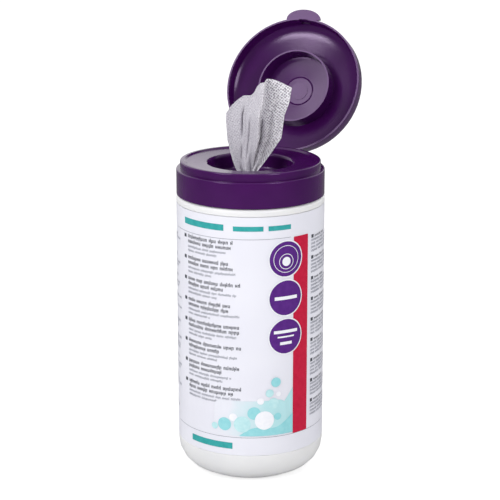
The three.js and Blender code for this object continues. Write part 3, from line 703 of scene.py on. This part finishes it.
# %% Pleats: tight ones in the hole, two panels and fine creases above
# A fine crease has a centre and a width as shares of the way across, a depth, a lean a
# millimetre of height, and the heights that it runs between.
FINE_CREASES = [
    (0.10, 0.05, 0.10, -0.0004, 0, 50), (0.27, 0.016, 0.62, 0.0010, 27, 44),
    (0.33, 0.018, 0.20, 0.0016, 18, 60), (0.40, 0.018, 0.42, 0.0020, 10, 38),
    (0.30, 0.018, 0.60, 0.0040, 10, 19), (0.49, 0.03, 0.16, 0.0014, 0, 48),
    (0.76, 0.05, 0.26, 0.0010, 10, 80), (0.91, 0.045, 0.26, -0.0012, 10, 80),
    (0.615, 0.022, 0.85, 0.0004, 4, 34),
]
CREASE_FADE = 5
LEAN_FROM = 30
HALF_WAVES_IN_HOLE = 6
FANNED_FROM, FANNED_BY = 0, 20
LEFT_WAVE, LEFT_SUNK, RIDGE_RISE = 0.15, 0.25, 1.45
RIGHT_DROP, DROP_WIDTH = 3.0, 0.1
RIGHT_SWING, RIGHT_CURL = 2.0, 0.9


def pleat_depth(across, above):
    """How far the cloth stands toward the viewer, in mm."""
    fanned_share = smooth(above, FANNED_FROM, FANNED_BY)
    gathered = math.cos(across * math.pi * HALF_WAVES_IN_HOLE)
    if across < RIDGE:
        panel = across / RIDGE
        fanned = LEFT_WAVE * math.cos(panel * math.pi * 2) - LEFT_SUNK + RIDGE_RISE * panel ** 4
    else:
        panel = (across - RIDGE) / (1 - RIDGE)
        fanned = LEFT_WAVE - LEFT_SUNK + RIDGE_RISE - RIGHT_DROP * smooth(panel, 0, DROP_WIDTH)
        fanned += RIGHT_SWING * panel - RIGHT_CURL * panel ** 3
    creases = 0.0
    for centre, width, depth, lean, low, high in FINE_CREASES:
        fade_in = smooth(above, low - CREASE_FADE, low + CREASE_FADE)
        fade_out = 1 - smooth(above, high - CREASE_FADE, high + CREASE_FADE)
        off_centre = across - centre - lean * (above - LEAN_FROM)
        creases -= depth * fade_in * fade_out * math.exp(-(off_centre / width) ** 2)
    reach = read_rows(EDGE_ROWS, above, PLEAT_DEPTH)
    return reach * (gathered * (1 - fanned_share) + (fanned + creases) * fanned_share)


print("fine creases", len(FINE_CREASES))

# %% The cloth's points: four layers folded back and forth
LAYERS = 4
STEPS_A_LAYER = 96
STEPS_UP = 100
GAP_IN_HOLE, GAP_FANNED = 0.45, 1.25
TUCKED_IN = 0.05
LOWER_EACH_LAYER = 1.6
columns = LAYERS * STEPS_A_LAYER


def cloth_place(column, row):
    """One point of the cloth, and its height above the well's floor in mm."""
    along = column / STEPS_A_LAYER
    layer = min(LAYERS - 1, int(along))
    tuck = TUCKED_IN * layer
    across = tuck + (1 - 2 * tuck) * (0.5 - 0.5 * math.cos(math.pi * along))
    top = read_rows(TOP_EDGE, across, EDGE_HEIGHT) - LOWER_EACH_LAYER * along
    above = TAIL + (top - TAIL) * row / STEPS_UP
    left_edge = read_rows(EDGE_ROWS, above, LEFT_EDGE)
    right_edge = read_rows(EDGE_ROWS, above, RIGHT_EDGE)
    side = left_edge + (right_edge - left_edge) * side_share(across, above)
    gap = GAP_IN_HOLE + (GAP_FANNED - GAP_IN_HOLE) * smooth(above, FANNED_FROM, FANNED_BY)
    depth = pleat_depth(across, above) - gap * (along - 0.5)
    point = right * side * MM + forward * depth * MM
    point.z = WELL_FLOOR_Z + above * MM
    return point, above


print("columns", columns, "rows", STEPS_UP)

# %% The pattern's width, measured along one row from pleat to pleat
MEASURED_ROW = 84
cloth_widths = [0.0]
for column in range(columns):
    step = cloth_place(column + 1, MEASURED_ROW)[0] - cloth_place(column, MEASURED_ROW)[0]
    cloth_widths.append(cloth_widths[-1] + step.xy.length)
ridge_column = round(STEPS_A_LAYER * math.acos(1 - 2 * RIDGE) / math.pi)
print("width of cloth up to the ridge", round(cloth_widths[ridge_column], 4))

# %% Build the cloth
cloth_points, cloth_uv = [], []
for row in range(STEPS_UP + 1):
    for column in range(columns + 1):
        point, above = cloth_place(column, row)
        cloth_points.append(point)
        cloth_uv.append((cloth_widths[column], above * MM))
cloth_faces = []
for row in range(STEPS_UP):
    for column in range(columns):
        corner = row * (columns + 1) + column
        over = corner + columns + 1
        cloth_faces.append((corner, corner + 1, over + 1, over))
standing_wipe = new_piece("standing_wipe", cloth_points, cloth_faces, nonwoven, "pulled_wipe")
uv_layer = standing_wipe.data.uv_layers.new(name="cloth")
for loop in standing_wipe.data.loops:
    uv_layer.data[loop.index].uv = cloth_uv[loop.vertex_index]
standing_wipe.data.polygons.foreach_set("use_smooth", [True] * len(standing_wipe.data.polygons))
cloth_area = sum(face.area for face in standing_wipe.data.polygons)
print("cloth faces", len(cloth_faces), "area in square metres", round(cloth_area, 5))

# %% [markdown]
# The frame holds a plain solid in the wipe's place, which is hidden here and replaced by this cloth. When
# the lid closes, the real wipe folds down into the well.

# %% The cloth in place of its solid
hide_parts("leading_wipe")
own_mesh(standing_wipe)
print("the wipe keeps its width and folds from", round(WELL_FLOOR_Z, 4), "m up")

# %% [markdown]
# ## The living hinge
# Lid and cap are one moulding, joined by a thin film that bends. The solids keep a hair's gap there so they
# can turn. A film that belongs to one of them would tear off the other, so it is added here on its own and
# rides on neither.

# %% Film of the living hinge
HINGE_OUT, HINGE_UP = 49.4, 197.83
FILM_HALF_WIDTH = 9.0
FILM_THICKNESS = 0.5
FILM_REACH = 0.9
FILM_SAG = 0.35
FILM_ROWS = 9
CORNERS_A_ROW = 4

film_points, film_faces = [], []
for row in range(FILM_ROWS):
    share = row / (FILM_ROWS - 1)
    out = HINGE_OUT - FILM_REACH + 2 * FILM_REACH * share
    up = HINGE_UP - FILM_SAG * math.sin(share * math.pi)
    for side in (-FILM_HALF_WIDTH, FILM_HALF_WIDTH):
        film_points += [(side * MM, out * MM, up * MM), (side * MM, out * MM, (up - FILM_THICKNESS) * MM)]
for row in range(FILM_ROWS - 1):
    near = row * CORNERS_A_ROW
    far = near + CORNERS_A_ROW
    film_faces += [(near, near + 2, far + 2, far), (near + 1, far + 1, far + 3, near + 3),
                   (near, far, far + 1, near + 1), (near + 2, near + 3, far + 3, far + 2)]
last = len(film_points) - CORNERS_A_ROW
film_faces += [(0, 1, 3, 2), (last, last + 2, last + 3, last + 1)]
hinge_film = new_piece("hinge_film", film_points, film_faces, purple_pp, None)
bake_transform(hinge_film)
print("hinge film", 2 * FILM_HALF_WIDTH, "mm wide and", FILM_THICKNESS, "mm thick")

# %% [markdown]
# ## Floor and light
# The bottle stands on white paper. More light on the paper would bleach the bottle too, so
# the paper glows for the camera only, and keeps the shadow that falls on it. The plastics
# mirror a dimmer paper, or their lower walls would look washed out.

# %% Floor that stays white for the camera and keeps the shadow
FLOOR_GLOW = 0.72
FLOOR_WIDTH = 40

floor_material = bpy.data.materials.new("white_paper_floor")
floor_material.use_nodes = True
floor_nodes = floor_material.node_tree.nodes
floor_nodes.remove(floor_nodes["Principled BSDF"])
rays = add(floor_material, "ShaderNodeLightPath").outputs
lit_paper = add(floor_material, "ShaderNodeBsdfDiffuse", {"Color": linear("#E4E4E4")})
mirrored_paper = add(floor_material, "ShaderNodeBsdfDiffuse", {"Color": linear("#8A8A8A")})
paper = add(floor_material, "ShaderNodeMixShader", i0=rays["Is Glossy Ray"],
            i1=lit_paper.outputs[0], i2=mirrored_paper.outputs[0])
shaded_paper = add(floor_material, "ShaderNodeBsdfDiffuse", {"Color": linear("#B5B5B5")})
glow = add(floor_material, "ShaderNodeEmission", {"Strength": FLOOR_GLOW})
seen_paper = add(floor_material, "ShaderNodeAddShader", i0=shaded_paper.outputs[0], i1=glow.outputs[0])
floor_mix = add(floor_material, "ShaderNodeMixShader", i0=rays["Is Camera Ray"],
                i1=paper.outputs[0], i2=seen_paper.outputs[0])
floor_material.node_tree.links.new(floor_mix.outputs[0], floor_nodes["Material Output"].inputs["Surface"])

bpy.ops.mesh.primitive_plane_add(size=FLOOR_WIDTH, location=(0, 0, 0))
floor = bpy.context.object
floor.name = "floor"
floor.data.materials.append(floor_material)
print("floor", FLOOR_WIDTH, "m wide")

# %% [markdown]
# The world round the bottle is a studio: a white backdrop behind it, which draws pale edges
# down the sides of the cap, a dim room on the viewer's side, and a pale ceiling for the lid
# and the deck to mirror. The camera itself sees plain white there.

# %% World: backdrop, room and ceiling
ROOM, BACKDROP, CEILING = 0.3, 1.2, 0.9

world = bpy.data.worlds.new("studio")
bpy.context.scene.world = world
world.use_nodes = True
background = world.node_tree.nodes["Background"]
background.inputs["Color"].default_value = linear("#FFFFFF")
ray_way = add(world, "ShaderNodeTexCoord").outputs["Generated"]
behind = add(world, "ShaderNodeVectorMath", {"operation": "DOT_PRODUCT", 1: tuple(-forward)}, i0=ray_way)
backdrop = add(world, "ShaderNodeMapRange",
               {"From Min": 0.05, "From Max": 0.5, "To Min": ROOM, "To Max": BACKDROP},
               Value=behind.outputs["Value"])
height = add(world, "ShaderNodeSeparateXYZ", Vector=ray_way)
ceiling = add(world, "ShaderNodeMapRange",
              {"From Min": 0.35, "From Max": 0.9, "To Min": 0.0, "To Max": CEILING},
              Value=height.outputs["Z"])
brighter = add(world, "ShaderNodeMath", {"operation": "MAXIMUM"},
               i0=backdrop.outputs["Result"], i1=ceiling.outputs["Result"])
seen = add(world, "ShaderNodeLightPath").outputs["Is Camera Ray"]
strength = add(world, "ShaderNodeMath", {"operation": "MAXIMUM"}, i0=brighter.outputs[0], i1=seen)
world.node_tree.links.new(strength.outputs[0], background.inputs["Strength"])
print("world", world.name, "with a backdrop of strength", BACKDROP)

# %% [markdown]
# Three soft boxes light the bottle: a low strip and a higher box on the left, which draw
# the bright crest inside the lid and light the deck, and a box on the right. They were moved
# until their mirror images on the cap and the lid lay where the photograph shows them.

# %% Soft boxes that look at the canister
LAMP_DISTANCE = 1.8
LAMP_AIM = Vector((0, 0, 0.17))


def soft_box(name, azimuth, elevation, size, watts):
    """A rectangular lamp. Its angles are in degrees, its width and height in metres."""
    turn, rise = math.radians(azimuth), math.radians(elevation)
    lamp = bpy.data.objects.new(name, bpy.data.lights.new(name, "AREA"))
    bpy.context.scene.collection.objects.link(lamp)
    lamp.data.shape = "RECTANGLE"
    lamp.data.size, lamp.data.size_y = size
    lamp.data.energy = watts
    away = Vector((math.sin(turn) * math.cos(rise), -math.cos(turn) * math.cos(rise), math.sin(rise)))
    lamp.location = LAMP_AIM + away * LAMP_DISTANCE
    lamp.rotation_euler = (-away).to_track_quat("-Z", "Y").to_euler()


soft_box("left_strip_box", azimuth=VIEW_ANGLE - 44, elevation=21, size=(0.75, 0.24), watts=10.5)
soft_box("upper_left_soft_box", azimuth=VIEW_ANGLE - 56, elevation=43, size=(0.6, 0.5), watts=5.6)
soft_box("right_soft_box", azimuth=VIEW_ANGLE + 40, elevation=26, size=(0.6, 0.69), watts=10.2)
bpy.context.scene.view_settings.view_transform = "Standard"
print("lamps", len(bpy.data.lights))
